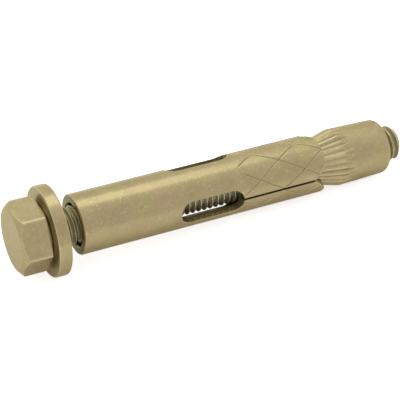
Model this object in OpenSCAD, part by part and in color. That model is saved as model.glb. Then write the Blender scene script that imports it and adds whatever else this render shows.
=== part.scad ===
// Hex-bolt sleeve anchor: bolt, washer, slotted expansion sleeve and knurled cone nut.
// Every piece is drawn about its own axis, head face at z = 0 and tip towards +z, then laid down together.

/* [Bolt] */
// outside diameter of the bolt's thread
thread_d = 7.6; // [7.4:0.1:7.8]
// hex head, across the flats
across_flats = 13; // [12:0.5:15]
// height of the hexagon
head_h = 5.6; // [4.5:0.05:7]
// edge of the flat end face, as a share of the across-flats size
face_share = 0.94; // [0.88:0.01:0.98]
// diameter of the washer face under the hexagon
boss_d = 11.6; // [10.5:0.1:11.8]
// height of the washer face
boss_h = 0.65; // [0.3:0.05:1]
// diameter of the reduced tip
tip_d = 7.2; // [6.4:0.1:7.3]
// length of tip standing out of the cone nut
tip_out = 3.2; // [2:0.1:8]
// chamfer at the end of the tip
tip_chamfer = 0.45; // [0.2:0.05:0.8]

/* [Washer] */
// outside diameter of the washer
washer_d = 18; // [17:0.5:22]
// thickness of the washer
washer_t = 2.6; // [2:0.1:4]
// rounding of the washer's rim
washer_edge = 0.4; // [0.2:0.05:0.6]

/* [Sleeve] */
// outside diameter of the expansion sleeve, also the drill size
sleeve_d = 12; // [11.8:0.1:12.6]
// length of the sleeve
sleeve_len = 52.3; // [45:0.5:70]
// bare thread between the washer and the sleeve
sleeve_gap = 3.6; // [1:0.1:8]
// from the near end of the sleeve to the windows
window_start = 20.2; // [12:0.2:24]
// length of a window
window_len = 13.5; // [10:0.5:16]
// width of a window
window_w = 4.8; // [3.5:0.1:5.2]
// width of the slit from a window to the far end
slit_w = 0.42; // [0.3:0.02:0.6]
// how far the nose of a jaw stands out past its corners
jaw_nose = 2.5; // [1.5:0.1:3.2]
// width of the slope from a slit to the nose
jaw_shoulder = 3.2; // [2:0.1:4]
// rounding of the jaws' outer end edge
jaw_edge = 0.3; // [0.1:0.05:0.5]
// chamfer on the near end
end_chamfer = 0.2; // [0.1:0.05:0.3]
// turn from the near window to the one underneath, where the rolled sleeve closes
third_turn = 113; // [110:1:120]
// how far the loose sleeve hangs below the bolt's axis
sleeve_hang = 0.12; // [0:0.02:0.14]

/* [Score grooves] */
// width of a score groove
groove_w = 0.3; // [0.2:0.02:0.5]
// depth of a score groove
groove_depth = 0.22; // [0.1:0.02:0.4]
// how far before the windows' end the scores start
groove_lead = 0.98; // [0:0.02:1.5]

/* [Cone nut] */
// length of nut standing out of the sleeve
nut_out = 15.5; // [13:0.1:20]
// diameter over the knurl
knurl_d = 11.75; // [11.55:0.05:11.9]
// diameter of the barrel at its far end
nut_end_d = 11.2; // [10.9:0.1:11.4]
// length of the cone outside the sleeve
cone_out = 4.4; // [4:0.1:5]
// radius of the cone at the sleeve's mouth
cone_mouth_r = 4.75; // [4.7:0.05:4.9]
// length of the cone inside the sleeve
cone_in = 2.6; // [2:0.1:2.6]
// depth of the knurl at the big end of the cone
knurl_depth = 0.3; // [0.26:0.02:0.36]
// depth of the knurl at the sleeve's mouth
knurl_start = 0.18; // [0.12:0.02:0.22]
// how unevenly deep the grooves are, so that they run out unevenly
knurl_ragged = 0.04; // [0:0.01:0.06]
// teeth around the knurl
knurl_teeth = 26; // [20:1:32]
// rounding of the far end
nut_edge = 1.45; // [0.8:0.05:1.45]

/* [Fits] */
// radial clearance of the bolt in the washer
washer_fit = 0.4; // [0.2:0.05:0.5]
// radial clearance of the bolt in the sleeve
bore_fit = 0.55; // [0.3:0.05:0.6]
// radial running clearance of the thread in the nut
thread_fit = 0.06; // [0.04:0.01:0.09]
// clearance between the cone and the sleeve's mouth
cone_fit = 0.22; // [0.18:0.02:0.3]
// end clearance between the washer face and the washer
seat_fit = 0.05; // [0.02:0.01:0.1]

/* [Pose] */
// turn of the bolt about its axis
bolt_roll = 29.4; // [0:0.2:60]
// turn of the sleeve about its axis
sleeve_roll = -93.5; // [-120:0.5:0]

/* [Hidden] */
$fn = 96;
eps = 0.02;
window_turns = [0, third_turn, 240];
thread_r = thread_d / 2;
sleeve_r = sleeve_d / 2;
bore_r = thread_r + bore_fit;
corner_r = across_flats / 2 / cos(30);
face_r = across_flats / 2 * face_share;
tip_r = tip_d / 2;
tip_face_r = tip_r - tip_chamfer;
washer_r = washer_d / 2;
knurl_r = knurl_d / 2;
nut_end_r = nut_end_d / 2;
chamfer_h = (corner_r - face_r) * tan(30);
rear_h = 0.12;
boss_a = head_h + boss_h;
washer_a = boss_a + seat_fit;
washer_back = washer_a + washer_t;
sleeve_a = washer_back + sleeve_gap;
sleeve_end = sleeve_a + sleeve_len;
window_a = sleeve_a + window_start;
window_end = window_a + window_len;
nut_a = sleeve_end - cone_in;
cone_end = sleeve_end + cone_out;
nut_end = sleeve_end + nut_out;
tip_end = nut_end + tip_out;
tip_a = nut_end - 1;
cone_slope = (knurl_r - cone_mouth_r) / cone_out;
nut_small_r = cone_mouth_r - cone_slope * cone_in;
mouth_r = cone_mouth_r + cone_fit;
mouth_len = (mouth_r - bore_r) / cone_slope;
groove_a = window_end - groove_lead;
groove_zone = sleeve_end - groove_a;
knurl_share = 0.82;
knurl_hidden = 0.7;
knurl_climb = (knurl_r - knurl_depth - cone_mouth_r + knurl_start) / cone_out;
// lie of the part: the washer's rim and the nut's far edge touch the floor
lie_a = (nut_end - nut_edge) - (washer_back - washer_edge);
lie_r = (washer_r - washer_edge) - (nut_end_r - nut_edge);
tilt = atan(lie_r / lie_a) + asin((washer_edge - nut_edge) / norm([lie_a, lie_r]));
lift = (washer_back - washer_edge) * sin(tilt) + (washer_r - washer_edge) * cos(tilt) + washer_edge;
mid_x = (tip_end * cos(tilt) + (tip_face_r - face_r) * sin(tilt)) / 2;
zinc = [0.72, 0.66, 0.46];

// Lays a piece drawn along +z down on the floor, tip towards +x.
module laid() {
    translate([-mid_x, 0, lift])
    rotate([0, 90 + tilt, 0])
    children();
}

// Solid of revolution from [radius, axial] points.
module turned(points) {
    rotate_extrude()
    polygon(points);
}

// Quarter of a rounding: what is cut off a square corner at [r, a], pointing outwards by sr and sa.
module edge_cut(r, a, size, sr, sa) {
    rotate_extrude()
    translate([r, a])
    difference() {
        translate([sr > 0 ? -size : -eps, sa > 0 ? -size : -eps])
        square(size + eps);
        translate([-sr * size, -sa * size])
        circle(r = size);
    }
}

// Cuts straight out from the axis: the plan is drawn with x around the sleeve and y along it.
module radial_cut(reach) {
    rotate([90, 0, 90])
    linear_extrude(height = reach)
    children();
}

module hex_head() {
    intersection() {
        rotate([0, 0, bolt_roll])
        cylinder(r = corner_r, h = head_h, $fn = 6);
        turned([
            [0, 0],
            [face_r, 0],
            [corner_r + eps, chamfer_h],
            [corner_r + eps, head_h - rear_h],
            [corner_r - rear_h / tan(30), head_h],
            [0, head_h],
        ]);
    }
}

module hex_bolt() {
    color(zinc)
    laid()
    union() {
        hex_head();
        turned([
            [0, head_h - 1],
            [boss_d / 2, head_h - 1],
            [boss_d / 2, boss_a],
            [thread_r, boss_a],
            [thread_r, tip_a - (thread_r - tip_r)],
            [tip_r, tip_a],
            [tip_r, tip_end - tip_chamfer],
            [tip_face_r, tip_end],
            [0, tip_end],
        ]);
    }
}

module washer() {
    color(zinc)
    laid()
    difference() {
        turned([
            [thread_r + washer_fit, washer_a],
            [washer_r, washer_a],
            [washer_r, washer_back],
            [thread_r + washer_fit, washer_back],
        ]);
        edge_cut(washer_r, washer_a, washer_edge, 1, -1);
        edge_cut(washer_r, washer_back, washer_edge, 1, 1);
    }
}

// Tube with a chamfered near end and a mouth flared to take the cone.
module sleeve_tube() {
    difference() {
        turned([
            [bore_r, sleeve_a],
            [sleeve_r - end_chamfer, sleeve_a],
            [sleeve_r, sleeve_a + end_chamfer],
            [sleeve_r, sleeve_end],
            [mouth_r, sleeve_end],
            [bore_r, sleeve_end - mouth_len],
        ]);
        edge_cut(sleeve_r, sleeve_end, jaw_edge, 1, 1);
    }
}

// Window with full round ends, the slit behind it and the run-out between the noses of two jaws.
module window_plan() {
    half_w = window_w / 2;
    half_slit = slit_w / 2;
    for (a = [window_a + half_w, window_end - half_w])
        translate([0, a])
        circle(r = half_w);
    translate([-half_w, window_a + half_w])
    square([window_w, window_len - window_w]);
    translate([-half_slit, window_end - half_w])
    square([slit_w, sleeve_end - window_end + half_w + eps]);
    polygon([
        [-half_slit, sleeve_end - jaw_nose],
        [-half_slit - jaw_shoulder * 0.4, sleeve_end - jaw_nose * 0.45],
        [-half_slit - jaw_shoulder, sleeve_end + eps],
        [half_slit + jaw_shoulder, sleeve_end + eps],
        [half_slit + jaw_shoulder * 0.4, sleeve_end - jaw_nose * 0.45],
        [half_slit, sleeve_end - jaw_nose],
    ]);
}

// One straight stretch of a score: a flat saw cut across the wall, leaning by hand, at a quarter step of the zone.
module score(hand, step) {
    lean = atan(sleeve_r * sin(30) / (groove_zone / 4));
    reach = groove_zone / 4 / cos(lean) + groove_w / 2;
    rotate([0, 0, hand * 30 * step])
    translate([0, 0, groove_a + groove_zone / 4 * step])
    rotate([-hand * lean, 0, 0])
    translate([sleeve_r * 0.7, -groove_w / 2, -reach])
    cube([sleeve_r, groove_w, 2 * reach]);
}

// Crossing scores, six starts of each hand, that meet on the slits and down the middle of the jaws.
module score_grooves() {
    difference() {
        for (k = [0 : 5], hand = [-1, 1], step = [1, 3])
            rotate([0, 0, sleeve_roll + 60 * k])
            score(hand, step);
        cylinder(r = sleeve_r - groove_depth, h = sleeve_end + 1);
    }
}

module expansion_sleeve() {
    color(zinc)
    laid()
    translate([sleeve_hang, 0, 0])
    difference() {
        sleeve_tube();
        for (turn = window_turns)
            rotate([0, 0, sleeve_roll + turn])
            radial_cut(sleeve_r + 1)
            window_plan();
        score_grooves();
    }
}

module nut_blank() {
    difference() {
        turned([
            [thread_r + thread_fit, nut_a],
            [nut_small_r, nut_a],
            [knurl_r, cone_end],
            [nut_end_r, nut_end - nut_edge],
            [nut_end_r, nut_end],
            [thread_r + thread_fit, nut_end],
        ]);
        edge_cut(nut_end_r, nut_end, nut_edge, 1, 1);
    }
}

// One V between two knurl teeth: its floor climbs the cone and runs out on the barrel.
module knurl_vee(deeper) {
    reach = cone_out + knurl_hidden;
    wide = 2 * PI * knurl_r / knurl_teeth * knurl_share;
    translate([knurl_r - knurl_depth - deeper, 0, cone_end])
    rotate([0, atan(knurl_climb), 0])
    translate([0, 0, -reach])
    linear_extrude(height = reach + 2 * cone_out)
    polygon([[0, 0], [2 * knurl_depth, wide], [2 * knurl_depth, -wide]]);
}

module cone_nut() {
    color(zinc)
    laid()
    difference() {
        nut_blank();
        for (k = [0 : knurl_teeth - 1])
            rotate([0, 0, 360 / knurl_teeth * k])
            knurl_vee(knurl_ragged * sin(k * 137));
    }
}

hex_bolt();
washer();
expansion_sleeve();
cone_nut();
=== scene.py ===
"""Dresses the hex-bolt sleeve anchor: threaded bolt, thick washer, scored sleeve and knurled cone nut.

Every piece is worked out in millimetres about the anchor's own axis, with a measured along the axis from the
head's end face, theta turning from the underside towards +y, and then laid down where the solids lie.
"""
import logging
import math
from dataclasses import dataclass, field
from enum import Enum
from typing import Any, ClassVar, Union

import bpy
import numpy as np
from mathutils import Matrix, Quaternion, Vector


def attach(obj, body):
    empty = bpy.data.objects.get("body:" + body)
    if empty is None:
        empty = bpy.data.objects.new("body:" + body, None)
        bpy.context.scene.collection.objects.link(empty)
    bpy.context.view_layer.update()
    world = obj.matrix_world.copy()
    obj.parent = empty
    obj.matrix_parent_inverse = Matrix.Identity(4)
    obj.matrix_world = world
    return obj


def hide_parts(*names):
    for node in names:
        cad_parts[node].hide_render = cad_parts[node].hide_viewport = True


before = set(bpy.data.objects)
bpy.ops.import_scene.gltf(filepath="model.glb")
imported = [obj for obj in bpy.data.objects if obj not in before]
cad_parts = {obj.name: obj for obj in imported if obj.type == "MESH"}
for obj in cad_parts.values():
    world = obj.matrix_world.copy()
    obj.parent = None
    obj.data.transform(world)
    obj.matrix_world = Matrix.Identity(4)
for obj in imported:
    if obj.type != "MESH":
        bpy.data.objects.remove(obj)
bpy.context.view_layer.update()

LOG = logging.getLogger("anchor")
MM = 0.001
TURN = 2.0 * math.pi
Number = Union[float, np.ndarray]
Colour = tuple[float, float, float]
Place = tuple[float, float, float]


def linear(red: int, green: int, blue: int) -> Colour:
    """Turns an 8-bit screen colour into the linear values that shaders take.

    Args:
        red: Screen red, 0 to 255.
        green: Screen green, 0 to 255.
        blue: Screen blue, 0 to 255.

    Returns:
        The three linear values: below 0.04045 the value over 12.92, above it ((v + 0.055) / 1.055) to the 2.4.
    """
    shares = [v / 255.0 for v in (red, green, blue)]
    first, second, third = (v / 12.92 if v <= 0.04045 else ((v + 0.055) / 1.055) ** 2.4 for v in shares)
    return first, second, third


def polar(r: Number, theta: Number, a: Number) -> np.ndarray:
    """Points at radius r, angle theta and axial place a.

    Args:
        r: Radius in millimetres.
        theta: Angle about the axis in radians.
        a: Place along the axis in millimetres.

    Returns:
        An array of [r cos(theta), r sin(theta), a], broadcast over the three inputs.
    """
    r, theta, a = np.broadcast_arrays(r, theta, a)
    return np.stack([r * np.cos(theta), r * np.sin(theta), a], axis=-1)


def soft_min(first: Number, second: Number, width: float) -> Number:
    """The smaller of two values, with the corner between them rounded off.

    Args:
        first: One value.
        second: The other value.
        width: Difference at which the rounding ends.

    Returns:
        A parabola across the corner: second mixed towards first by h, less width * h * (1 - h).
    """
    h = np.clip(0.5 + 0.5 * (second - first) / width, 0.0, 1.0)
    return second * (1.0 - h) + first * h - width * h * (1.0 - h)


def ease(low: float, high: float, value: Number) -> Number:
    """A smooth step from 0 at low to 1 at high: 3t squared less 2t cubed."""
    t = np.clip((np.asarray(value) - low) / (high - low), 0.0, 1.0)
    return t * t * (3.0 - 2.0 * t)


def hump(value: Number, width: float) -> Number:
    """A bell of height 1 around zero: e to the minus (value / width) squared."""
    return np.exp(-np.square(np.asarray(value) / width))


def arc(centre_r: float, centre_a: float, radius: float, start: float, end: float, count: int) -> np.ndarray:
    """Points round part of a circle in the (r, a) plane.

    Args:
        centre_r: Radius of the circle's centre.
        centre_a: Axial place of the circle's centre.
        radius: Radius of the circle.
        start: First angle in degrees, 0 outwards and 90 towards the tip.
        end: Last angle in degrees.
        count: How many points.

    Returns:
        A (count, 2) array of centre plus radius times (cos, sin).
    """
    angle = np.radians(np.linspace(start, end, count))
    return np.stack([centre_r + radius * np.cos(angle), centre_a + radius * np.sin(angle)], axis=-1)


class Lay(Enum):
    """Which way the fine tool lines of a finish run."""

    ALONG = "along the axis"
    ROUND = "round the axis"
    PLAIN = "no direction"


@dataclass(frozen=True)
class AnchorSizes:
    """Sizes of the anchor in millimetres, under the same names as in the solids' source."""

    thread_d: float = 7.6
    across_flats: float = 13.0
    head_h: float = 5.6
    face_share: float = 0.94
    boss_d: float = 11.6
    boss_h: float = 0.65
    tip_d: float = 7.2
    tip_out: float = 3.2
    tip_chamfer: float = 0.45
    washer_d: float = 18.0
    washer_t: float = 2.6
    washer_edge: float = 0.4
    sleeve_d: float = 12.0
    sleeve_len: float = 52.3
    sleeve_gap: float = 3.6
    window_start: float = 20.2
    window_len: float = 13.5
    window_w: float = 4.8
    slit_w: float = 0.42
    jaw_nose: float = 2.5
    jaw_shoulder: float = 3.2
    jaw_edge: float = 0.3
    end_chamfer: float = 0.2
    third_turn: float = 113.0
    sleeve_hang: float = 0.12
    nut_out: float = 15.5
    knurl_d: float = 11.75
    nut_end_d: float = 11.2
    cone_out: float = 4.4
    cone_mouth_r: float = 4.75
    cone_in: float = 2.6
    knurl_depth: float = 0.3
    knurl_start: float = 0.18
    knurl_ragged: float = 0.04
    knurl_teeth: int = 26
    knurl_share: float = 0.82
    nut_edge: float = 1.45
    washer_fit: float = 0.4
    bore_fit: float = 0.55
    thread_fit: float = 0.06
    cone_fit: float = 0.22
    seat_fit: float = 0.05
    bolt_roll: float = 29.4
    sleeve_roll: float = -93.5

    @property
    def corner_r(self) -> float:
        """Radius of the hexagon's corners."""
        return self.across_flats / 2.0 / math.cos(math.radians(30.0))

    @property
    def face_r(self) -> float:
        """Radius at which the head's end face meets its chamfer."""
        return self.across_flats / 2.0 * self.face_share

    @property
    def boss_a(self) -> float:
        """Axial place of the washer face under the head."""
        return self.head_h + self.boss_h

    @property
    def washer_a(self) -> float:
        """Axial place of the washer's front face."""
        return self.boss_a + self.seat_fit

    @property
    def washer_back(self) -> float:
        """Axial place of the washer's rear face."""
        return self.washer_a + self.washer_t

    @property
    def sleeve_a(self) -> float:
        """Axial place of the sleeve's near end."""
        return self.washer_back + self.sleeve_gap

    @property
    def sleeve_end(self) -> float:
        """Axial place of the jaws' noses."""
        return self.sleeve_a + self.sleeve_len

    @property
    def window_a(self) -> float:
        """Axial place where the windows start."""
        return self.sleeve_a + self.window_start

    @property
    def window_end(self) -> float:
        """Axial place where the windows end and the slits start."""
        return self.window_a + self.window_len

    @property
    def bore_r(self) -> float:
        """Radius of the sleeve's bore."""
        return self.thread_d / 2.0 + self.bore_fit

    @property
    def nut_a(self) -> float:
        """Axial place of the cone's small end."""
        return self.sleeve_end - self.cone_in

    @property
    def cone_end(self) -> float:
        """Axial place of the cone's big end."""
        return self.sleeve_end + self.cone_out

    @property
    def nut_end(self) -> float:
        """Axial place of the nut's far end."""
        return self.sleeve_end + self.nut_out

    @property
    def tip_end(self) -> float:
        """Axial place of the bolt's tip."""
        return self.nut_end + self.tip_out

    @property
    def cone_slope(self) -> float:
        """Growth of the cone's radius along the axis."""
        return (self.knurl_d / 2.0 - self.cone_mouth_r) / self.cone_out


@dataclass(frozen=True)
class Lie:
    """How the anchor lies: on the washer's rim and the nut's far edge.

    Attributes:
        tilt: Fall of the axis towards the tip, in radians.
        lift: Height of the head's end face centre above the floor, in millimetres.
        mid_x: Half the length along x, in millimetres.
    """

    tilt: float
    lift: float
    mid_x: float

    @classmethod
    def of(cls, s: AnchorSizes) -> "Lie":
        """Works out the lie from the sizes.

        Args:
            s: The anchor's sizes.

        Returns:
            The lie on the line that touches the washer's rear rounding and the nut's end rounding from below.
        """
        run = (s.nut_end - s.nut_edge) - (s.washer_back - s.washer_edge)
        drop = (s.washer_d / 2.0 - s.washer_edge) - (s.nut_end_d / 2.0 - s.nut_edge)
        tilt = math.atan2(drop, run) + math.asin((s.washer_edge - s.nut_edge) / math.hypot(run, drop))
        lift = (s.washer_back - s.washer_edge) * math.sin(tilt) + s.washer_edge
        lift += (s.washer_d / 2.0 - s.washer_edge) * math.cos(tilt)
        tip_face_r = s.tip_d / 2.0 - s.tip_chamfer
        mid_x = (s.tip_end * math.cos(tilt) + (tip_face_r - s.face_r) * math.sin(tilt)) / 2.0
        return cls(tilt, lift, mid_x)

    def place(self, local: np.ndarray) -> np.ndarray:
        """Lays points about the axis down on the floor.

        Args:
            local: (n, 3) points as down, side and axial place, in millimetres.

        Returns:
            (n, 3) points in metres: x = a cos(tilt) - down sin(tilt) - mid, y = side,
            z = lift - a sin(tilt) - down cos(tilt).
        """
        down, side, a = local[:, 0], local[:, 1], local[:, 2]
        x = a * math.cos(self.tilt) - down * math.sin(self.tilt) - self.mid_x
        z = self.lift - a * math.sin(self.tilt) - down * math.cos(self.tilt)
        return np.stack([x, side, z], axis=-1) * MM


class Skin:
    """Gathers grids of points and the faces between them, and makes one closed mesh of them."""

    def __init__(self) -> None:
        """Starts with no points and no faces."""
        self.points: list[np.ndarray] = []
        self.marks: list[np.ndarray] = []
        self.quads: list[np.ndarray] = []
        self.tris: list[np.ndarray] = []
        self.count = 0

    def add(self, points: np.ndarray, wear_and_highlight: Number = 0.0, painted_shade: Number = 0.0) -> np.ndarray:
        """Adds an array of points.

        Args:
            points: Points of any grid shape, ending in an axis of 3.
            wear_and_highlight: Brightness of each point from worn film and from painted highlights, 0 to 1.
            painted_shade: Painted shade at each point, 0 to 1.

        Returns:
            The points' numbers, in the grid's shape.
        """
        shape = points.shape[:-1]
        number = np.arange(int(np.prod(shape))).reshape(shape) + self.count
        self.count += number.size
        self.points.append(points.reshape(-1, 3))
        marks = [np.broadcast_to(m, shape).reshape(-1) for m in (wear_and_highlight, painted_shade)]
        self.marks.append(np.clip(np.stack(marks, axis=-1), 0.0, 1.0))
        return number

    def sheet(self, number: np.ndarray, flip: bool = False) -> None:
        """Faces between the neighbouring rows and columns of a grid.

        Args:
            number: Grid of point numbers, rows along the axis and columns round it.
            flip: Turns the faces round, for an inner wall.
        """
        corners = [number[:-1, :-1], number[:-1, 1:], number[1:, 1:], number[1:, :-1]]
        quads = np.stack(corners, axis=-1).reshape(-1, 4)
        self.quads.append(quads[:, ::-1] if flip else quads)

    def tube(self, number: np.ndarray) -> None:
        """Faces of a grid whose last column meets its first."""
        self.sheet(np.concatenate([number, number[:, :1]], axis=1))

    def cap(self, ring: np.ndarray, centre: np.ndarray, first: bool) -> None:
        """Closes a ring with triangles to one point.

        Args:
            ring: Numbers of the ring's points, in turning order.
            centre: The point in the middle.
            first: True where the ring's far side is towards the tip, so that the cap faces the head's end.
        """
        middle = np.broadcast_to(self.add(centre.reshape(1, 3)), ring.shape)
        after = np.roll(ring, -1)
        order = [middle, after, ring] if first else [middle, ring, after]
        self.tris.append(np.stack(order, axis=-1))

    def thin_out(self, wide: np.ndarray, few: np.ndarray) -> None:
        """Joins a ring of many points to a ring of fewer, a whole number of edges to each.

        Args:
            wide: Numbers of the ring that comes first along the profile.
            few: Numbers of the next ring, starting at the same angle.
        """
        ratio = len(wide) // len(few)
        groups = np.concatenate([wide.reshape(-1, ratio), np.roll(wide, -ratio).reshape(-1, ratio)[:, :1]], axis=1)
        after = np.roll(few, -1)
        half = ratio // 2 + 1
        for step in range(ratio):
            peak = few if step < half else after
            self.tris.append(np.stack([groups[:, step], groups[:, step + 1], peak], axis=-1))
        self.tris.append(np.stack([few, groups[:, half], after], axis=-1))

    def weld(self, reach: float = 2.0e-4) -> tuple[np.ndarray, np.ndarray, np.ndarray, np.ndarray]:
        """Merges points that lie together and drops the faces that this leaves without an area.

        Args:
            reach: Size of the cells that count as one place, in millimetres.

        Returns:
            Points, marks, four-cornered faces and three-cornered faces.
        """
        points, marks = np.concatenate(self.points), np.concatenate(self.marks)
        cells = np.round((points + 0.137 * reach) / reach).astype(np.int64)
        _, keep, where = np.unique(cells, axis=0, return_index=True, return_inverse=True)
        where = where.reshape(-1)
        quads = where[np.concatenate(self.quads)] if self.quads else np.zeros((0, 4), int)
        tris = where[np.concatenate(self.tris)] if self.tris else np.zeros((0, 3), int)
        same = quads == np.roll(quads, -1, axis=1)
        crossed = (quads[:, 0] == quads[:, 2]) | (quads[:, 1] == quads[:, 3])
        once = (same.sum(axis=1) == 1) & ~crossed
        left = np.take_along_axis(quads[once], (np.argmax(same[once], axis=1)[:, None] + [1, 2, 3]) % 4, axis=1)
        tris = np.concatenate([tris, left])
        tris = tris[(tris != np.roll(tris, -1, axis=1)).all(axis=1)]
        return points[keep], marks[keep], quads[(same.sum(axis=1) == 0) & ~crossed], tris

    def make(self, name: str, lie: Lie, sharp: float) -> bpy.types.Object:
        """Makes the mesh object.

        Args:
            name: Name of the piece.
            lie: Where the anchor lies.
            sharp: Edges bent by more than this many degrees are shaded sharp.

        Returns:
            The object, at the origin, with the marks as point attributes called wear_and_highlight and
            painted_shade.
        """
        points, marks, quads, tris = self.weld()
        mesh = bpy.data.meshes.new(name)
        mesh.vertices.add(len(points))
        mesh.vertices.foreach_set("co", lie.place(points).astype(np.float32).ravel())
        mesh.loops.add(quads.size + tris.size)
        mesh.loops.foreach_set("vertex_index", np.concatenate([quads.ravel(), tris.ravel()]).astype(np.int32))
        mesh.polygons.add(len(quads) + len(tris))
        starts = np.concatenate([np.arange(len(quads)) * 4, quads.size + np.arange(len(tris)) * 3])
        mesh.polygons.foreach_set("loop_start", starts.astype(np.int32))
        mesh.update(calc_edges=True)
        for column, mark in enumerate(("wear_and_highlight", "painted_shade")):
            layer = mesh.attributes.new(mark, "FLOAT", "POINT")
            layer.data.foreach_set("value", marks[:, column].astype(np.float32))
        mesh.polygons.foreach_set("use_smooth", np.ones(len(mesh.polygons), dtype=bool))
        mesh.set_sharp_from_angle(angle=math.radians(sharp))
        mesh.validate()
        piece = bpy.data.objects.new(name, mesh)
        bpy.context.scene.collection.objects.link(piece)
        return piece


class Wire:
    """A shader socket that takes part in Python expressions; each operator adds one Math node."""

    def __init__(self, tree: bpy.types.NodeTree, socket: bpy.types.NodeSocket) -> None:
        """Wraps a socket of a node tree."""
        self.tree = tree
        self.socket = socket

    def join(self, operation: str, first: Any, second: Any) -> "Wire":
        """Adds a Math node.

        Args:
            operation: The node's operation.
            first: A wire or a number.
            second: A wire or a number.

        Returns:
            The node's result.
        """
        node = self.tree.nodes.new("ShaderNodeMath")
        node.operation = operation
        for slot, value in zip(node.inputs, (first, second)):
            if isinstance(value, Wire):
                self.tree.links.new(value.socket, slot)
            else:
                slot.default_value = value
        return Wire(self.tree, node.outputs[0])

    def __add__(self, other: Any) -> "Wire":
        """The sum."""
        return self.join("ADD", self, other)

    def __radd__(self, other: Any) -> "Wire":
        """The sum, from the right."""
        return self.join("ADD", other, self)

    def __sub__(self, other: Any) -> "Wire":
        """The difference."""
        return self.join("SUBTRACT", self, other)

    def __rsub__(self, other: Any) -> "Wire":
        """The difference, from the right."""
        return self.join("SUBTRACT", other, self)

    def __mul__(self, other: Any) -> "Wire":
        """The product."""
        return self.join("MULTIPLY", self, other)

    def __rmul__(self, other: Any) -> "Wire":
        """The product, from the right."""
        return self.join("MULTIPLY", other, self)

    def held(self, low: float, high: float) -> "Wire":
        """The value kept between two numbers."""
        return self.join("MINIMUM", self.join("MAXIMUM", self, low), high)

    def between(self, low: float, high: float) -> "Wire":
        """The value's share of the way from low to high, kept between 0 and 1."""
        return ((self - low) * (1.0 / (high - low))).held(0.0, 1.0)


class Board:
    """A node tree with one method that adds any node to it."""

    def __init__(self, tree: bpy.types.NodeTree) -> None:
        """Empties the tree."""
        self.tree = tree
        tree.nodes.clear()

    def node(self, kind: str, settings: dict[str, Any], sockets: dict[Any, Any]) -> bpy.types.Node:
        """Adds a node.

        Args:
            kind: The node's type, without its Shader prefix.
            settings: Values of the node itself, set first.
            sockets: Values or wires of its inputs, by name or by number.

        Returns:
            The node.
        """
        node = self.tree.nodes.new("ShaderNode" + kind)
        for name, value in settings.items():
            setattr(node, name, value)
        for name, value in sockets.items():
            if isinstance(value, Wire):
                self.tree.links.new(value.socket, node.inputs[name])
            else:
                node.inputs[name].default_value = value
        return node

    def out(self, node: bpy.types.Node, name: Union[str, int] = 0) -> Wire:
        """Wraps one of a node's outputs."""
        return Wire(self.tree, node.outputs[name])

    def mix(self, share: Any, first: Any, second: Any, way: str = "MIX") -> Wire:
        """Mixes two colours.

        Args:
            share: How much of the second, 0 to 1.
            first: A colour wire or a colour.
            second: A colour wire or a colour.
            way: The blend type.

        Returns:
            The mixed colour.
        """
        first, second = (c if isinstance(c, Wire) else (*c, 1.0) for c in (first, second))
        settings = {"data_type": "RGBA", "blend_type": way}
        return self.out(self.node("Mix", settings, {0: share, 6: first, 7: second}), 2)

    def noise(self, place: Wire, scale: float, detail: float = 2.0, rough: float = 0.5) -> Wire:
        """Soft noise between 0 and 1 at a place.

        Args:
            place: Where the noise is read.
            scale: Grains per unit of place.
            detail: How many finer layers are added.
            rough: How strong the finer layers are.

        Returns:
            The noise's value.
        """
        sockets = {"Vector": place, "Scale": scale, "Detail": detail, "Roughness": rough}
        return self.out(self.node("TexNoise", {"noise_dimensions": "3D"}, sockets), 0)

    def dot(self, first: Wire, second: Place) -> Wire:
        """The dot product of a vector wire and a fixed vector."""
        return self.out(self.node("VectorMath", {"operation": "DOT_PRODUCT"}, {0: first, 1: second}), "Value")

    def grey(self, value: Wire) -> Wire:
        """A grey colour of one value."""
        return self.out(self.node("CombineColor", {}, {"Red": value, "Green": value, "Blue": value}))

    def mark(self, name: str) -> Wire:
        """Reads a point attribute of the piece."""
        return self.out(self.node("Attribute", {"attribute_name": name}, {}), "Fac")


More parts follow.
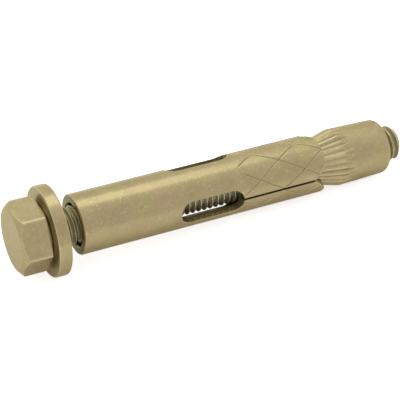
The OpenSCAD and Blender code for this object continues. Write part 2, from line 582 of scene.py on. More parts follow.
@dataclass(frozen=True)
class ZincFinish:
    """Yellow-passivated zinc on steel: a satin khaki gold film with olive and rose clouds and pale flecks.

    Attributes:
        name: Name of the material.
        tone: Colour of most of the film.
        olive: Colour of its greenish clouds.
        rose: Colour of its pinkish clouds.
        bare_and_highlight: Colour where the film is worn thin, and of the painted highlights.
        shade_colour: Colour of the painted shade in grooves, hollows and shaded faces.
        edge: Tint of the film at a grazing angle.
        rough: Middle roughness.
        lay: Which way the fine tool lines run.
        lines: Strength of the tool lines.
        film: Share of the colour that the film has between its flecks.
        cloud_scale: Clouds to a millimetre.
        tint_scale: Changes of tint to a millimetre.
        fleck_scale: Pale flecks to a millimetre.
        grain_scale: Grains to a millimetre.
        cloud_gain: How much the clouds lighten the film.
        fleck_gain: How much the flecks lighten it.
        grain_gain: How much the grain lightens it.
        bump_height: Height of the unevenness, in millimetres.
        seed: Shift of the clouds, so that no two pieces match.
    """

    name: str
    tone: Colour = linear(181, 166, 124)
    olive: Colour = linear(177, 169, 115)
    rose: Colour = linear(187, 163, 129)
    bare_and_highlight: Colour = linear(222, 210, 168)
    shade_colour: Colour = linear(84, 83, 62)
    edge: Colour = (0.93, 0.86, 0.68)
    rough: float = 0.30
    lay: Lay = Lay.PLAIN
    lines: float = 0.3
    film: float = 0.97
    cloud_scale: float = 0.30
    tint_scale: float = 0.2
    fleck_scale: float = 1.9
    grain_scale: float = 7.0
    cloud_gain: float = 0.17
    fleck_gain: float = 0.21
    grain_gain: float = 0.16
    bump_height: float = 0.012
    seed: float = 0.0

    def material(self, lie: Lie) -> bpy.types.Material:
        """Makes the material.

        Args:
            lie: Where the anchor lies, so that patterns follow its axis.

        Returns:
            A metal whose colour, roughness and bump come from clouds, flecks, grain, tool lines and the
            piece's marks, which paint its worn places, its highlights and its shade.
        """
        material = bpy.data.materials.new(self.name)
        material.use_nodes = True
        b = Board(material.node_tree)
        place = self.axis_place(b, lie)
        wear_and_highlight, painted_shade = b.mark("wear_and_highlight"), b.mark("painted_shade")
        cloud = b.noise(place, self.cloud_scale, 4.0, 0.6)
        tint = b.noise(place, self.tint_scale, 3.0).between(0.38, 0.6925)
        grain = b.noise(place, self.grain_scale, 3.0, 0.6)
        fleck = b.noise(place, self.fleck_scale, 1.0).between(0.58, 0.58 + 1.0 / 6.0)
        line = self.tool_lines(b, place)
        blotch = cloud.between(0.5 - 0.5 / 2.2, 0.5 + 0.5 / 2.2)
        colour = b.mix(blotch * 0.7, self.tone, b.mix(tint, self.olive, self.rose))
        shade = self.film + (grain - 0.5) * self.grain_gain
        shade = shade + (blotch - 0.5) * self.cloud_gain + fleck * self.fleck_gain
        colour = b.mix(1.0, colour, b.grey(shade), "MULTIPLY")
        # Painted shade: the shade colour where the piece is marked as shaded.
        colour = b.mix(painted_shade * painted_shade * 0.9, colour, self.shade_colour)
        # Worn film and painted highlights: the bare_and_highlight colour where the piece is marked bright.
        colour = b.mix((wear_and_highlight * (0.45 + cloud * 0.5)).held(0.0, 0.8), colour, self.bare_and_highlight)
        rough = self.rough + (blotch - 0.5) * 0.07 + (grain - 0.5) * 0.10 + painted_shade * 0.12 - wear_and_highlight * 0.06
        height = grain * 0.55 + line * self.lines + cloud * 0.5
        bump = b.node("Bump", {}, {"Strength": 0.35, "Distance": self.bump_height * MM, "Height": height})
        shader = b.node("BsdfPrincipled", {}, {
            "Base Color": colour,
            "Metallic": (1.0 - wear_and_highlight * 0.3 - painted_shade * 0.25).held(0.5, 1.0),
            "Roughness": rough.held(0.15, 0.7),
            "Normal": b.out(bump),
            "Specular Tint": (*self.edge, 1.0),
            "Coat Weight": 0.12,
            "Coat Roughness": 0.2,
        })
        b.node("OutputMaterial", {}, {"Surface": b.out(shader)})
        return material

    def axis_place(self, b: Board, lie: Lie) -> Wire:
        """Object coordinates turned to the anchor's axis, in millimetres, shifted by the seed.

        Args:
            b: The material's board.
            lie: Where the anchor lies.

        Returns:
            The place as down, side and axial distance.
        """
        coordinates = b.out(b.node("TexCoord", {}, {}), "Object")
        turn = (0.0, math.radians(90.0) + lie.tilt, 0.0)
        start = (-lie.mid_x * MM, 0.0, lie.lift * MM)
        sockets = {"Vector": coordinates, "Location": start, "Rotation": turn, "Scale": (MM, MM, MM)}
        local = b.out(b.node("Mapping", {"vector_type": "TEXTURE"}, sockets))
        shift = (self.seed, self.seed * 0.7, self.seed * 1.3)
        return b.out(b.node("VectorMath", {"operation": "ADD"}, {0: local, 1: shift}))

    def tool_lines(self, b: Board, place: Wire) -> Wire:
        """Fine lines left by drawing or turning: noise squeezed across the lay and stretched along it.

        Args:
            b: The material's board.
            place: The place about the axis.

        Returns:
            The lines' height, 0 to 1.
        """
        stretch = {Lay.ALONG: (9.0, 9.0, 0.25), Lay.ROUND: (0.6, 0.6, 11.0), Lay.PLAIN: (3.0, 3.0, 3.0)}[self.lay]
        squeezed = b.out(b.node("VectorMath", {"operation": "MULTIPLY"}, {0: place, 1: stretch}))
        return b.noise(squeezed, 1.0, 2.0)


class Piece:
    """A sub-assembly drawn as one mesh, which stands for one solid and moves with one body.

    Attributes:
        finish: Its finish.
        node: The solid that it stands for.
        body: The body that it rides on.
        slot: The material slot of its solid.
    """

    finish: ZincFinish
    node: ClassVar[str]
    body: ClassVar[str]
    slot: ClassVar[str]

    def build(self, lie: Lie) -> bpy.types.Object:
        """Builds the mesh; each sub-assembly has its own way."""
        raise NotImplementedError

    def dress(self, lie: Lie) -> bpy.types.Object:
        """Builds the piece, gives it its finish and hangs it on its body.

        Args:
            lie: Where the anchor lies.

        Returns:
            The finished object, which stands for its node.
        """
        thing = self.build(lie)
        thing.data.materials.append(self.finish.material(lie))
        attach(thing, self.body)
        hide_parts(self.node)
        LOG.info("%s: %d faces, rides on %s", thing.name, len(thing.data.polygons), self.body)
        return thing


@dataclass
class HexBolt(Piece):
    """The bolt: chamfered hexagon head, washer face, rolled thread and reduced tip.

    Attributes:
        sizes: The anchor's sizes.
        finish: Its finish.
        pitch: Thread pitch.
        lead_in: How far before the washer face the thread's first root would stand.
        crest_r: Radius of the thread's crests.
        notch: Depth of the grooves between them.
        groove: Distances from a crest as shares of the pitch, and the shares of the notch's depth there.
        tip_drop: How far the thread shrinks at the tip.
        tip_cut: How far inside the tip's radius its end chamfer starts.
        tip_slope: Growth of that chamfer's radius away from the end.
        corner_power: Sharpness of the hexagon's corners.
        chamfer_slope: Fall of the head's chamfer along the radius.
        chamfer_soft: Width over which the chamfer bends out of the end face.
        front_soft: Rounding between the chamfer and the flats.
        rear_soft: Rounding between the flats and the rear chamfer.
        rear_cut: How far inside the corners the rear chamfer starts.
        row_gap: Distance between rows at the head's edges.
        head_columns: Points round the head.
        thread_columns: Points round the thread.
        steps: Shares of the pitch at which the rows of one turn stand.
    """

    sizes: AnchorSizes
    finish: ZincFinish
    pitch: float = 1.25
    lead_in: float = 1.07
    crest_r: float = 3.76
    notch: float = 0.72
    groove: tuple[tuple[float, ...], tuple[float, ...]] = (
        (0.0, 0.045, 0.085, 0.36, 0.41, 0.5), (0.0, 0.01, 0.07, 0.9, 0.97, 1.0))
    tip_drop: float = 0.18
    tip_cut: float = 0.75
    tip_slope: float = 1.2
    corner_power: float = 90.0
    chamfer_slope: float = 0.8
    chamfer_soft: float = 0.06
    front_soft: float = 0.09
    rear_soft: float = 0.12
    rear_cut: float = 0.2
    row_gap: float = 0.05
    head_columns: int = 288
    thread_columns: int = 72
    steps: np.ndarray = field(default_factory=lambda: np.array(
        [0.0, 0.09, 0.14, 0.28, 0.38, 0.415, 0.455, 0.5, 0.545, 0.585, 0.62, 0.72, 0.86, 0.91]))

    node: ClassVar[str] = "hex_bolt"
    body: ClassVar[str] = "bolt"
    slot: ClassVar[str] = "bolt_zinc"

    def hexagon(self, theta: np.ndarray) -> np.ndarray:
        """Radius of a hexagon with soft corners.

        Args:
            theta: Angles in radians.

        Returns:
            Half the across-flats size over the p-norm of the cosines to the three flat directions, with p the
            corners' power.
        """
        faces = np.radians(self.sizes.bolt_roll + 30.0 + 60.0 * np.arange(3))
        cosines = np.abs(np.cos(theta[:, None] - faces[None, :]))
        norm = np.sum(cosines ** self.corner_power, axis=1) ** (1.0 / self.corner_power)
        return self.sizes.across_flats / 2.0 / norm

    def chamfer_a(self, r: np.ndarray) -> np.ndarray:
        """Axial place of the end face and its chamfer at radius r, as one smooth curve.

        Args:
            r: Radii.

        Returns:
            slope times w ln(1 + e to the (r - face radius) / w), which is flat inside and a cone outside.
        """
        soft = self.chamfer_soft
        return self.chamfer_slope * soft * np.log1p(np.exp((r - self.sizes.face_r) / soft))

    def head_rows(self, theta: np.ndarray) -> tuple[np.ndarray, np.ndarray, np.ndarray]:
        """Rows of the head, from near the middle of its end face to the edge of the washer face.

        Each row belongs to a radius t of the chamfer's curve: r is the soft minimum of t and the hexagon, and
        a is the chamfer's place at t, so that a row past the hexagon slides down the flat.

        Args:
            theta: The columns' angles.

        Returns:
            Radius, axial place and wear, each of rows by columns.
        """
        s, gap = self.sizes, self.row_gap
        hexagon = self.hexagon(theta)[None, :]
        t = np.concatenate([s.face_r * np.array([0.06, 0.2, 0.4, 0.6, 0.75, 0.87]),
                            np.arange(s.face_r - 0.5, s.corner_r + 0.35, gap)])[:, None]
        front_r = soft_min(t, hexagon, self.front_soft)
        front_a = np.broadcast_to(self.chamfer_a(t), front_r.shape)
        a = np.concatenate([np.linspace(front_a[-1, 0] + 0.5, s.head_h - 0.7, 5),
                            s.head_h - 0.5 + gap * np.arange(11)])[:, None]
        rear = s.corner_r - self.rear_cut + (s.head_h - a) / math.tan(math.radians(30.0))
        side_r = soft_min(hexagon, rear, self.rear_soft)
        side_a = np.broadcast_to(a, side_r.shape)
        share = np.array([0.3, 0.7, 1.0])[:, None]
        under_r = side_r[-1:] * (1.0 - share) + s.boss_d / 2.0 * share
        under_a = np.full_like(under_r, s.head_h)
        boss_a = np.array([s.head_h + 0.1, s.boss_a - 0.15, s.boss_a - 0.04, s.boss_a])[:, None]
        boss_r = s.boss_d / 2.0 - np.array([0.0, 0.0, 0.04, 0.15])[:, None]
        boss_r, boss_a = np.broadcast_arrays(boss_r + 0.0 * theta, boss_a + 0.0 * theta)
        corner = hump(self.corner_distance(theta), 0.3)[None, :]
        rear_edge = np.broadcast_to(0.5 * hump(s.head_h - 0.3 - a, 0.2), side_r.shape)
        edge = np.concatenate([hump(t - hexagon, 0.12), rear_edge])
        sides = np.concatenate([np.where(t > hexagon, 0.8, 0.0), np.full(side_r.shape, 0.8)]) * corner
        below = np.zeros((len(under_r) + len(boss_r), len(theta)))
        wear_and_highlight = np.concatenate([np.maximum(edge * 0.35, sides), below])
        return (np.concatenate([front_r, side_r, under_r, boss_r]),
                np.concatenate([front_a, side_a, under_a, boss_a]), wear_and_highlight)

    def corner_distance(self, theta: np.ndarray) -> np.ndarray:
        """Distance in millimetres round the head from each column to the nearest corner."""
        sixth = TURN / 6.0
        angle = np.mod(theta - math.radians(self.sizes.bolt_roll) + sixth / 2.0, sixth) - sixth / 2.0
        return angle * self.sizes.corner_r

    def thread_r(self, a: np.ndarray, s: np.ndarray) -> np.ndarray:
        """Radius of the thread at axial place a and share s of the pitch.

        Args:
            a: Axial places.
            s: Shares of the pitch, 0 in a root.

        Returns:
            The crest radius less the tip's drop and the groove, inside the tip's chamfer. A crest is about an eighth
            of the pitch wide, the flanks beside a groove stand 60 degrees apart, and its root is rounded.
        """
        z = self.sizes
        groove = np.interp(np.abs(s - 0.5), *self.groove)
        r = self.crest_r - self.notch * groove - self.tip_drop * ease(z.nut_end - 2.0, z.nut_end - 0.5, a)
        return np.minimum(r, z.tip_d / 2.0 - self.tip_cut + (z.tip_end - a) * self.tip_slope)

    def thread_rows(self) -> tuple[np.ndarray, np.ndarray]:
        """Grid of the thread, whose rows follow the helix so that crests and roots lie on grid lines.

        Row i stands at a = start + pitch * (i's share of turns - 1 + share of a turn from the head's corner), where
        start is lead_in before the washer face, held between that face and the tip; the seam joins each row to the
        row one turn further on.

        Returns:
            Points of rows by columns, and the share of the pitch at each.
        """
        s = self.sizes
        start = s.boss_a - self.lead_in
        turns = math.ceil((s.tip_end - start) / self.pitch) + 1
        along = (np.arange(turns)[:, None] + self.steps[None, :]).reshape(-1, 1)
        turn = np.linspace(0.0, 1.0, self.thread_columns, endpoint=False)[None, :]
        a = np.clip(start + self.pitch * (along - 1.0 + turn), s.boss_a, s.tip_end)
        share = np.mod((a - start) / self.pitch - turn, 1.0)
        return polar(self.thread_r(a, share), math.radians(s.bolt_roll) + TURN * turn, a), share

    def thread_marks(self, a: np.ndarray, share: np.ndarray) -> tuple[np.ndarray, np.ndarray]:
        """Marks of the thread: worn crests with a painted highlight, and painted shade on the flanks, more inside
        the sleeve.

        Args:
            a: Axial places.
            share: Shares of the pitch, 0 in a root.

        Returns:
            Worn brightness and painted highlight, strong on each crest, and painted shade on what that leaves.
        """
        s = self.sizes
        crest = 1.0 - ease(0.05, 0.12, np.abs(share - 0.5))
        inside = ease(s.sleeve_a + 1.0, s.sleeve_a + 3.0, a) * (1.0 - ease(s.nut_a - 1.0, s.nut_a, a))
        # Crests painted bright as worn and as a painted highlight; flanks get painted shade, more in the sleeve's
        # shadow.
        return 0.8 * crest, (0.68 + 0.3 * inside) * (1.0 - crest)

    def build(self, lie: Lie) -> bpy.types.Object:
        """Builds the bolt as one closed surface from the middle of the head's end face to the tip.

        Args:
            lie: Where the anchor lies.

        Returns:
            The piece.
        """
        skin = Skin()
        theta = math.radians(self.sizes.bolt_roll) + np.linspace(0.0, TURN, self.head_columns, endpoint=False)
        r, a, wear_and_highlight = self.head_rows(theta)
        # Painted shade on the head's end face and the start of its chamfer.
        head = skin.add(polar(r, theta[None, :], a), wear_and_highlight, 0.3 * (1.0 - ease(0.0, 0.3, a)))
        skin.cap(head[0], np.array([0.0, 0.0, float(a[0, 0])]), True)
        skin.tube(head)
        points, share = self.thread_rows()
        thread = skin.add(points, *self.thread_marks(points[..., 2], share))
        skin.thin_out(head[-1], thread[0])
        skin.sheet(thread)
        beyond = np.minimum(np.arange(len(thread)) + len(self.steps), len(thread) - 1)
        skin.sheet(np.stack([thread[:, -1], thread[beyond, 0]], axis=-1))
        inner = skin.add(points[-1] * np.array([0.55, 0.55, 1.0]))
        skin.tube(np.stack([thread[-1], inner]))
        skin.cap(inner, np.array([0.0, 0.0, self.sizes.tip_end]), False)
        return skin.make("bolt_threaded", lie, 38.0)


@dataclass
class ThickWasher(Piece):
    """The washer: a thick turned ring with rounded rims.

    Attributes:
        sizes: The anchor's sizes.
        finish: Its finish.
        columns: Points round the ring.
        bore_edge: Rounding of the bore's edges.
        rim_wear: How bright the rims are worn.
        face_shade: How much painted shade the two faces have.
    """

    sizes: AnchorSizes
    finish: ZincFinish
    columns: int = 192
    bore_edge: float = 0.2
    rim_wear: float = 0.5
    face_shade: float = 0.65

    node: ClassVar[str] = "washer"
    body: ClassVar[str] = "washer"
    slot: ClassVar[str] = "washer_zinc"

    def build(self, lie: Lie) -> bpy.types.Object:
        """Carries the ring's closed outline once round the axis.

        Args:
            lie: Where the anchor lies.

        Returns:
            The piece.
        """
        s, edge, small = self.sizes, self.sizes.washer_edge, self.bore_edge
        inner, outer = s.thread_d / 2.0 + s.washer_fit, s.washer_d / 2.0
        front, back = s.washer_a, s.washer_back
        outline = np.concatenate([
            arc(inner + small, front + small, small, 180.0, 270.0, 4),
            np.stack([np.linspace(inner + 0.6, outer - 0.8, 6), np.full(6, front)], axis=-1),
            arc(outer - edge, front + edge, edge, -90.0, 0.0, 8),
            np.stack([np.full(3, outer), np.linspace(front + 0.9, back - 0.9, 3)], axis=-1),
            arc(outer - edge, back - edge, edge, 0.0, 90.0, 8),
            np.stack([np.linspace(outer - 0.8, inner + 0.6, 6), np.full(6, back)], axis=-1),
            arc(inner + small, back - small, small, 90.0, 180.0, 4),
        ])
        theta = np.linspace(0.0, TURN, self.columns, endpoint=False)[None, :]
        r, a = outline[:, :1], outline[:, 1:]
        to_face = np.minimum(a - front, back - a)
        wear_and_highlight = self.rim_wear * hump(to_face - 0.1, 0.12) * ease(outer - 0.5, outer - 0.1, r)
        skin = Skin()
        # Painted shade on both flat faces of the washer.
        ring = skin.add(polar(r, theta, a), wear_and_highlight, self.face_shade * hump(to_face, 0.05))
        skin.tube(np.concatenate([ring, ring[:1]]))
        return skin.make("washer_ring", lie, 50.0)


@dataclass
class ExpansionSleeve(Piece):
    """The sleeve: a tube with three windows, the slits behind them and three scored jaws.

    It is drawn as three sectors from window to window. Columns spread evenly over what the window leaves, so
    that the window's outline is the sector's own edge, and the scores run along the diagonals of the grid.

    Attributes:
        sizes: The anchor's sizes.
        finish: Its finish.
        columns: Cells round one jaw.
        score_rows: Rows from the windows' end to the jaws' noses.
        score_depth: Depth of a score.
        edge_drop: How far the edges of the windows and slits are broken.
        nose_power: How full the jaws' rounded ends are.
        lip_wear: How bright the windows' edges are worn.
        nose_wear: How bright the jaws' ends are worn.
        rim_wear: How bright the near end's rim is worn.
        score_shade: How much painted shade the scores and the slits' edges have.
        face_shade: How much painted shade the near end face has.
        inside_shade: How much painted shade the inner wall has.
    """

    sizes: AnchorSizes
    finish: ZincFinish
    columns: int = 100
    score_rows: int = 95
    score_depth: float = 0.11
    edge_drop: float = 0.07
    nose_power: float = 1.6
    lip_wear: float = 0.45
    nose_wear: float = 0.7
    rim_wear: float = 0.4
    score_shade: float = 0.8
    face_shade: float = 0.75
    inside_shade: float = 0.7

    node: ClassVar[str] = "expansion_sleeve"
    body: ClassVar[str] = "sleeve"
    slot: ClassVar[str] = "sleeve_zinc"

    def rows(self) -> tuple[np.ndarray, np.ndarray, int]:
        """Axial places of the rows and half the opening's width at each.

        The opening is nothing along the plain tube, hw sin(u) round the window's ends at a distance
        hw (1 - cos(u)) from them, hw along its sides and half a slit beyond it.

        Returns:
            Places, half widths, and the number of the first scored row.
        """
        s = self.sizes
        hw, half_slit = s.window_w / 2.0, s.slit_w / 2.0
        tube = np.concatenate([s.sleeve_a + np.array([0.0, 0.05, 0.12, 0.22, 0.5]),
                               np.linspace(s.sleeve_a + 1.2, s.window_a - 0.6, 14)])
        turn = np.linspace(0.0, np.pi / 2.0, 15)
        last = np.linspace(0.0, math.acos(half_slit / hw), 15)[1:]
        straight = np.linspace(s.window_a + hw, s.window_end - hw, 10)[1:]
        scored = np.linspace(s.window_end, s.sleeve_end, self.score_rows + 1)
        places = np.concatenate([tube, s.window_a + hw * (1.0 - np.cos(turn)), straight,
                                 s.window_end - hw + hw * np.sin(last), scored[1:]])
        widths = np.concatenate([np.zeros(len(tube)), hw * np.sin(turn), np.full(9, hw),
                                 hw * np.cos(last), np.full(self.score_rows, half_slit)])
        return places, widths, len(places) - self.score_rows - 1

    def jaw_end(self, theta: np.ndarray) -> np.ndarray:
        """Axial place of the jaw's end at each column.

        Args:
            theta: Angles from the jaw's middle, in radians.

        Returns:
            The sleeve's end less nose * (1 - distance from the slit / shoulder) to the nose's power.
        """
        s = self.sizes
        room = (np.abs(theta).max() - np.abs(theta)) * s.sleeve_d / 2.0
        share = np.clip(1.0 - room / s.jaw_shoulder, 0.0, 1.0)
        return s.sleeve_end - s.jaw_nose * share ** self.nose_power

    def sector(self, skin: Skin, start: float, end: float) -> None:
        """Adds one jaw with its share of the tube.

        Args:
            skin: Takes the points and faces.
            start: Turn from the near window to the window before the jaw, in degrees.
            end: Turn from the near window to the window after it.
        """
        s = self.sizes
        middle, half = np.radians([s.sleeve_roll + (start + end) / 2.0, (end - start) / 2.0])
        hang = np.array([s.sleeve_hang, 0.0, 0.0])
        places, widths, first = self.rows()
        outer_r, bore = s.sleeve_d / 2.0, s.bore_r
        across = np.linspace(-1.0, 1.0, self.columns + 1)[None, :]
        out_theta = across * (half - np.arcsin(widths / outer_r))[:, None]
        in_theta = across * (half - np.arcsin(widths / bore))[:, None]
        nose = self.jaw_end(out_theta[-1])[None, :]
        a = np.minimum(places[:, None], nose)
        to_end, to_start = nose - a, a - s.sleeve_a
        fillet = s.jaw_edge
        rounding = fillet - np.sqrt(np.maximum(fillet ** 2 - np.square(np.maximum(fillet - to_end, 0.0)), 0.0))
        chamfer = np.maximum(s.end_chamfer - to_start, 0.0)
        lip = ((widths[:, None] > 0.0) | (np.abs(places[:, None] - s.window_a) < 1e-6)) & (np.abs(across) > 0.999)
        slit = lip & (places[:, None] > s.window_end - s.window_w / 4.0)
        score, falling = self.scores(first, len(places)) * ease(0.0, 0.25, to_end)
        # Painted highlight: the falling scores on one side of each jaw are painted bright where they would catch the
        # light.
        score_highlight = falling * ease(0.35, 0.5, -across)
        r = outer_r - rounding - chamfer - self.edge_drop * lip - self.score_depth * score
        mouth = s.cone_mouth_r + s.cone_fit - s.cone_slope * (s.sleeve_end - a)
        r_in = np.maximum(bore + np.maximum(0.2 - to_start, 0.0), mouth)
        nose_rim, near_rim = hump(to_end - 0.12, 0.15), hump(to_start - 0.1, 0.12)
        rims = np.maximum(self.nose_wear * nose_rim, self.rim_wear * near_rim)
        wear_and_highlight = np.maximum(self.lip_wear * (lip & ~slit), rims)
        end_face = to_start < 1e-6
        wear_and_highlight = np.maximum(wear_and_highlight * (1.0 - score), score_highlight) * ~end_face
        # Painted shade in the scores, along the slits and on the near end face.
        shade_paint = self.score_shade * np.maximum(score * (1.0 - score_highlight), slit)
        shade_paint = np.maximum(shade_paint, self.face_shade * end_face)
        outer = skin.add(polar(r, out_theta + middle, a) + hang, wear_and_highlight, shade_paint)
        # Painted shade on the whole inner wall.
        inner = skin.add(polar(r_in, in_theta + middle, a) + hang, 0.0, self.inside_shade)
        self.outer_faces(skin, outer, first)
        skin.sheet(inner, flip=True)
        skin.sheet(np.stack([inner[0], outer[0]]))
        skin.sheet(np.stack([outer[-1], inner[-1]]))
        cut = int(np.argmax(widths > 0.0)) - 1
        skin.sheet(np.stack([inner[cut:, 0], outer[cut:, 0]], axis=-1))
        skin.sheet(np.stack([outer[cut:, -1], inner[cut:, -1]], axis=-1))

    def scores(self, first: int, rows: int) -> np.ndarray:
        """Marks the grid points on a score, and those on a score that falls as the columns rise.

        Args:
            first: Number of the first scored row.
            rows: How many rows there are.

        Returns:
            Two grids: 1 where the row less the column, or the row plus the column, is a whole number of half
            jaws, and 1 where the second of these is; the scores fade in over the first rows.
        """
        half = self.columns // 2
        lead = self.columns - self.score_rows
        i, j = np.arange(rows)[:, None] - first + lead, np.arange(self.columns + 1)[None, :]
        rising, falling = (i - j) % half == 0, (i + j) % half == 0
        return np.stack([rising | falling, falling]) * ease(lead, lead + 2.0, i)

    def outer_faces(self, skin: Skin, outer: np.ndarray, first: int) -> None:
        """Faces of the outer wall, with the cells that a score crosses split along it.

        Args:
            skin: Takes the faces.
            outer: Grid of point numbers.
            first: Number of the first scored row.
        """
        half, lead = self.columns // 2, self.columns - self.score_rows
        i, j = np.arange(len(outer) - 1)[:, None] - first + lead, np.arange(self.columns)[None, :]
        rising = ((i - j) % half == 0) & (i >= lead)
        falling = ((i + 1 + j) % half == 0) & (i >= lead)
        p, q, u, v = outer[:-1, :-1], outer[:-1, 1:], outer[1:, 1:], outer[1:, :-1]
        plain = ~(rising | falling)
        skin.quads.append(np.stack([p, q, u, v], axis=-1)[plain])
        skin.tris.append(np.stack([p, q, u], axis=-1)[rising])
        skin.tris.append(np.stack([p, u, v], axis=-1)[rising])
        falling &= ~rising
        skin.tris.append(np.stack([p, q, v], axis=-1)[falling])
        skin.tris.append(np.stack([q, u, v], axis=-1)[falling])

    def build(self, lie: Lie) -> bpy.types.Object:
        """Builds the three sectors and merges them along the tube.

        Args:
            lie: Where the anchor lies.

        Returns:
            The piece.
        """
        skin = Skin()
        turns = (0.0, self.sizes.third_turn, 240.0, 360.0)
        for start, end in zip(turns, turns[1:]):
            self.sector(skin, start, end)
        return skin.make("sleeve_scored", lie, 32.0)


@dataclass
class ConeNut(Piece):
    """The cone nut: a knurled cone that runs out on a tapered barrel with a rounded end.

    Attributes:
        sizes: The anchor's sizes.
        finish: Its finish.
        rim: Width of the chamfer at the bore's far end, which is painted bright as a highlight.
        run_out: How steeply the knurl's grooves run out on the barrel.
        run_length: How far along the barrel they may reach.
        scatter: Degrees from one groove's unevenness to the next one's.
        splits: Shares of one tooth at which the columns stand.
    """

    sizes: AnchorSizes
    finish: ZincFinish
    rim: float = 0.12
    run_out: float = 0.09
    run_length: float = 3.5
    scatter: float = 137.0
    splits: np.ndarray = field(default_factory=lambda: np.array(
        [0.0, 0.1, 0.2, 0.28, 0.34, 0.38, 0.41, 0.44, 0.5, 0.56, 0.59, 0.62, 0.66, 0.72, 0.8, 0.9]))

    node: ClassVar[str] = "cone_nut"
    body: ClassVar[str] = "nut"
    slot: ClassVar[str] = "nut_zinc"

    def profile(self) -> np.ndarray:
        """Closed outline of the nut as (r, a), from the small end of its bore round the outside and back.

        Returns:
            The cone, the barrel's taper, a quarter round at the far end, the bore's chamfer and the bore.
        """
        s = self.sizes
        bore, small = s.thread_d / 2.0 + s.thread_fit, s.cone_mouth_r - s.cone_slope * s.cone_in
        cone = np.linspace(s.nut_a, s.cone_end, 34)
        cone_r = small + s.cone_slope * (cone - s.nut_a)
        barrel = np.concatenate([s.cone_end + np.arange(0.12, 3.4, 0.12),
                                 np.linspace(s.cone_end + 4.0, s.nut_end - s.nut_edge, 7)])
        run = (barrel - s.cone_end) / (s.nut_end - s.nut_edge - s.cone_end)
        barrel_r = s.knurl_d / 2.0 * (1.0 - run) + s.nut_end_d / 2.0 * run
        end = arc(s.nut_end_d / 2.0 - s.nut_edge, s.nut_end - s.nut_edge, s.nut_edge, 0.0, 90.0, 14)[1:]
        end = end[end[:, 0] > bore + self.rim]
        return np.concatenate([
            [[bore, s.nut_a]], np.stack([cone_r, cone], axis=-1), np.stack([barrel_r, barrel], axis=-1), end,
            [[bore + self.rim, s.nut_end - 0.01], [bore, s.nut_end - self.rim]],
        ])

    def knurl(self, r: np.ndarray, a: np.ndarray, theta: np.ndarray) -> np.ndarray:
        """Radius with the V grooves cut in.

        Args:
            r: Outline radii, as a column.
            a: Axial places, as a column.
            theta: The columns' angles.

        Returns:
            The smaller of the outline and each groove's floor plus slope times the distance from its middle; a floor
            climbs along the axis and runs out on the barrel, unevenly from groove to groove.
        """
        s = self.sizes
        step = TURN / s.knurl_teeth
        tooth = np.round(theta / step)
        side = np.abs(theta - tooth * step)
        uneven = s.knurl_ragged * np.sin(np.radians(tooth * self.scatter))
        climb = (s.knurl_d / 2.0 - s.knurl_depth - s.cone_mouth_r + s.knurl_start) / s.cone_out
        rise = np.where(a < s.cone_end, climb, self.run_out) * (a - s.cone_end)
        floor = s.knurl_d / 2.0 - s.knurl_depth - uneven + rise
        slope = 2.0 * s.knurl_depth / (TURN * s.knurl_d / 2.0 / s.knurl_teeth * s.knurl_share)
        return np.minimum(r, floor + slope * side * r)

    def build(self, lie: Lie) -> bpy.types.Object:
        """Carries the outline round the axis, cutting the grooves into its outer rows.

        Args:
            lie: Where the anchor lies.

        Returns:
            The piece.
        """
        s = self.sizes
        outline = self.profile()
        step = TURN / s.knurl_teeth
        theta = ((np.arange(s.knurl_teeth)[:, None] + self.splits[None, :]) * step).reshape(1, -1)
        r, a = outline[:, :1], outline[:, 1:]
        outside = (r > s.cone_mouth_r - s.cone_slope * s.cone_in - 1e-6) & (a < s.cone_end + self.run_length)
        cut = np.where(outside, self.knurl(r, a, theta), r + 0.0 * theta)
        depth = (r - cut) / s.knurl_depth
        share = np.mod(theta / step, 1.0)
        middle = np.minimum(share, 1.0 - share)
        # Painted shade in the bottoms of the grooves.
        painted_shade = 0.45 * np.clip(depth, 0.0, 1.0) * hump(middle, 0.12)
        # Worn ridges on the cone and at the grooves' run-outs, also painted bright as highlight lines.
        ridge = outside * ease(0.38, 0.44, middle) * (1.0 - ease(s.cone_end - 1.0, s.cone_end + 0.8, a))
        ridge = np.maximum(ridge, outside * (depth > 0.02) * (1.0 - ease(0.06, 0.26, depth)))
        # Painted highlight on the bore's chamfer at the far end.
        rim = hump(r - s.thread_d / 2.0 - self.rim, 0.08) * (a > s.nut_end - 0.3)
        skin = Skin()
        grid = skin.add(polar(cut, theta, a), np.maximum(0.8 * ridge, 0.9 * rim) + 0.0 * theta, painted_shade)
        skin.tube(np.concatenate([grid, grid[:1]]))
        return skin.make("nut_knurled", lie, 20.0)


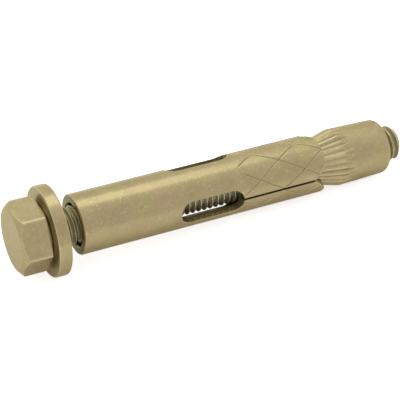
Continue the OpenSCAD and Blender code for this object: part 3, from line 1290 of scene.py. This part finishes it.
@dataclass(frozen=True)
class PaleFloor:
    """A plain white floor that the camera and mirrors see as white and that still takes the anchor's shadow.

    Attributes:
        reach: Half its width, in metres.
        sink: How far it lies under the anchor, in metres.
        side_points: Points along each side.
        glow: Share of its white that is steady; the rest comes from the lamps and carries the shadow.
        mirror_glow: The same, as the part's own metal mirrors it.
        paint: Share of the light that its paint throws back.
    """

    reach: float = 4.0
    sink: float = 2.0e-5
    side_points: int = 5
    glow: float = 0.66
    mirror_glow: float = 0.06
    paint: float = 0.93

    def build(self) -> bpy.types.Object:
        """Lays a flat grid of points just under the anchor.

        Returns:
            The floor.
        """
        side = np.linspace(-self.reach, self.reach, self.side_points)
        x, y = np.meshgrid(side, side)
        points = np.stack([x, y, np.full_like(x, -self.sink)], axis=-1).reshape(-1, 3)
        number = np.arange(x.size).reshape(x.shape)
        quads = np.stack([number[:-1, :-1], number[:-1, 1:], number[1:, 1:], number[1:, :-1]], axis=-1)
        mesh = bpy.data.meshes.new("floor")
        mesh.from_pydata(points.tolist(), [], quads.reshape(-1, 4).tolist())
        floor = bpy.data.objects.new("floor", mesh)
        bpy.context.scene.collection.objects.link(floor)
        floor.data.materials.append(self.material())
        return floor

    def material(self) -> bpy.types.Material:
        """Makes the floor's white.

        Returns:
            A matt white; for camera, glossy and transmission rays a steady white is added to it.
        """
        material = bpy.data.materials.new("floor_white")
        material.use_nodes = True
        b = Board(material.node_tree)
        path = b.node("LightPath", {}, {})
        mirrored = (b.out(path, "Is Glossy Ray") + b.out(path, "Is Transmission Ray")).held(0.0, 1.0)
        shown = matt = b.out(b.node("BsdfDiffuse", {}, {"Color": (self.paint, self.paint, self.paint, 1.0)}))
        for seen, glow in ((mirrored, self.mirror_glow), (b.out(path, "Is Camera Ray"), self.glow)):
            steady = b.out(b.node("Emission", {}, {"Color": (1.0, 1.0, 1.0, 1.0), "Strength": glow}))
            both = b.out(b.node("AddShader", {}, {0: matt, 1: steady}))
            shown = b.out(b.node("MixShader", {}, {0: seen, 1: shown, 2: both}))
        b.node("OutputMaterial", {}, {"Surface": shown})
        return material


@dataclass(frozen=True)
class Studio:
    """Soft studio light: an even room, a little rosy behind the camera, and one overhead softbox.

    Attributes:
        room: Brightness of the room near the horizon.
        ceiling: Brightness of the room higher up.
        ceiling_band: Heights, as sines, between which the room turns into its ceiling.
        front: Colour of the room behind the camera, which the near side mirrors.
        front_way: Direction of that side.
        front_band: Cosines to that direction between which the room takes its colour.
        box_low: Lowest corner of the softbox's front, in metres; it faces straight down.
        box_size: Its size along x and y.
        box_glow: How much brighter than the room its front is.
    """

    room: float = 0.88
    ceiling: float = 0.96
    ceiling_band: tuple[float, float] = (0.42, 0.58)
    front: Colour = (0.80, 0.77, 0.795)
    front_way: Place = (-0.25, -0.97, 0.0)
    front_band: tuple[float, float] = (-0.2, 0.4)
    box_low: Place = (-0.35, 0.039, 0.30)
    box_size: tuple[float, float] = (0.512, 0.206)
    box_glow: float = 0.62

    def build(self) -> None:
        """Sets the world and the lamps."""
        world = bpy.data.worlds.new("room")
        bpy.context.scene.world = world
        world.use_nodes = True
        b = Board(world.node_tree)
        direction = b.out(b.node("TexCoord", {}, {}), "Generated")
        facing = b.dot(direction, self.front_way).between(*self.front_band)
        high = b.dot(direction, (0.0, 0.0, 1.0)).between(*self.ceiling_band)
        behind = b.mix(high, (self.room,) * 3, (self.ceiling,) * 3)
        colour = b.mix(facing, behind, self.front)
        room = b.out(b.node("Background", {}, {"Color": colour, "Strength": 1.0}))
        white = b.out(b.node("Background", {}, {"Color": (1.0, 1.0, 1.0, 1.0), "Strength": 1.0}))
        seen = b.out(b.node("LightPath", {}, {}), "Is Camera Ray")
        b.node("OutputWorld", {}, {"Surface": b.out(b.node("MixShader", {}, {0: seen, 1: room, 2: white}))})
        self.softbox()

    def softbox(self) -> None:
        """Adds the overhead softbox, whose power is its brightness times pi times its area."""
        wide, deep = self.box_size
        light = bpy.data.lights.new("overhead_softbox", "AREA")
        light.shape = "RECTANGLE"
        light.size, light.size_y = wide, deep
        light.energy = self.box_glow * math.pi * wide * deep
        lamp = bpy.data.objects.new("overhead_softbox", light)
        lamp.location = (self.box_low[0] + wide / 2.0, self.box_low[1] + deep / 2.0, self.box_low[2])
        lamp.visible_camera = False
        bpy.context.scene.collection.objects.link(lamp)


@dataclass(frozen=True)
class PhotoCamera:
    """The camera at the photograph's viewing angle, fitted to the anchor's outline.

    Attributes:
        azimuth: Turn about the vertical, in degrees, 0 looking along +y.
        elevation: Height above the horizon, in degrees.
        roll: Turn about the line of sight, in degrees, counterclockwise as seen from behind the camera.
        target: What the middle of the picture shows, in millimetres.
        distance: From the target, in millimetres.
        focal_pixels: Focal length, in pixels.
        frame_pixels: Width of the picture, in pixels.
    """

    azimuth: float = -25.54
    elevation: float = 39.70
    roll: float = 0.14
    target: Place = (-3.73, -2.92, 8.0)
    distance: float = 312.55
    focal_pixels: float = 1600.0
    frame_pixels: float = 400.0

    def build(self) -> bpy.types.Object:
        """Makes the scene's camera.

        Returns:
            The camera at target plus distance times (sin az cos el, -cos az cos el, sin el), turned by its roll.
        """
        az, el = math.radians(self.azimuth), math.radians(self.elevation)
        back = Vector((math.sin(az) * math.cos(el), -math.cos(az) * math.cos(el), math.sin(el)))
        right = Vector((math.cos(az), math.sin(az), 0.0))
        right.rotate(Quaternion(back, math.radians(self.roll)))
        up = back.cross(right)
        data = bpy.data.cameras.new("photo_camera")
        data.sensor_fit = "HORIZONTAL"
        data.angle = 2.0 * math.atan(self.frame_pixels / 2.0 / self.focal_pixels)
        data.clip_start, data.clip_end = 0.01, 50.0
        camera = bpy.data.objects.new("photo_camera", data)
        turn = Matrix((right, up, back)).transposed().to_4x4()
        camera.matrix_world = Matrix.Translation((Vector(self.target) + back * self.distance) * MM) @ turn
        bpy.context.scene.collection.objects.link(camera)
        bpy.context.scene.camera = camera
        return camera


def main() -> None:
    """Builds the camera, the four pieces and the studio."""
    logging.basicConfig(level=logging.INFO, format="%(name)s %(message)s")
    bpy.context.scene.view_settings.view_transform = "Standard"
    PhotoCamera().build()
    sizes = AnchorSizes()
    lie = Lie.of(sizes)
    # The bolt's and the washer's shade colours are the colours of their painted shade.
    bolt_zinc = ZincFinish("zinc_bolt", shade_colour=linear(160, 161, 138), seed=5.0)
    washer_zinc = ZincFinish("zinc_washer", shade_colour=linear(128, 132, 104), rough=0.22, seed=17.0, lay=Lay.ROUND)
    sleeve_zinc = ZincFinish("zinc_sleeve", rough=0.23, seed=31.0, lay=Lay.ALONG)
    nut_zinc = ZincFinish("zinc_nut", rough=0.34, seed=47.0, lay=Lay.ROUND)
    HexBolt(sizes, bolt_zinc).dress(lie)
    ThickWasher(sizes, washer_zinc).dress(lie)
    ExpansionSleeve(sizes, sleeve_zinc).dress(lie)
    ConeNut(sizes, nut_zinc).dress(lie)
    PaleFloor().build()
    Studio().build()


if __name__ == "__main__":
    main()
